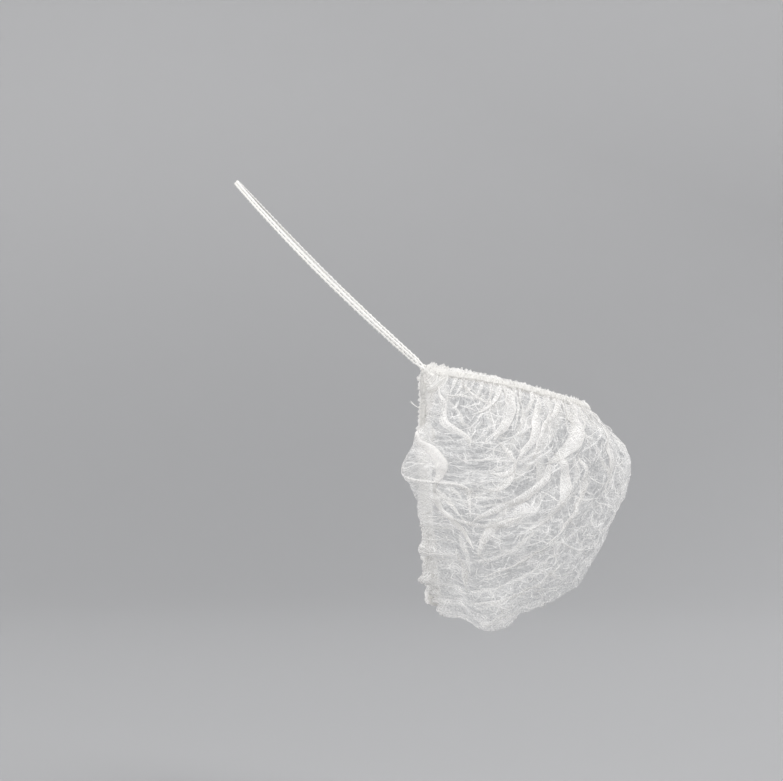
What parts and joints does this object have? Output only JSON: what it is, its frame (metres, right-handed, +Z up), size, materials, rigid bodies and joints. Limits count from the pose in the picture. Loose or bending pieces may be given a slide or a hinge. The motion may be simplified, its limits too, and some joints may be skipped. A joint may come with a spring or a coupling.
{
  "type": "disposable beard net",
  "caption": "Gathered bag of thin nonwoven net worn over a beard, on elastic hems that meet below the ears, with an elastic loop over the back of the head.",
  "frame": {"origin": "where the head loop rests on the back of the head, at the middle of the loop", "axes": "+Z up, the wearer's face looks along -Y, the wearer's left side is at +X"},
  "size_m": [0.1587, 0.2106, 0.2385],
  "materials": {
    "net": "thin white spunbond net, see-through, with fine random fibres and crumple creases",
    "hem": "white gathered net bunched under overlock stitches",
    "elastic": "white knitted elastic, two strands side by side"
  },
  "bodies": {
    "root": {"net_bag": "net", "top_hem": "hem", "rear_hem": "hem", "right_corner_tack": "hem", "left_corner_tack": "hem", "head_loop": "elastic"}
  },
  "joints": []
}
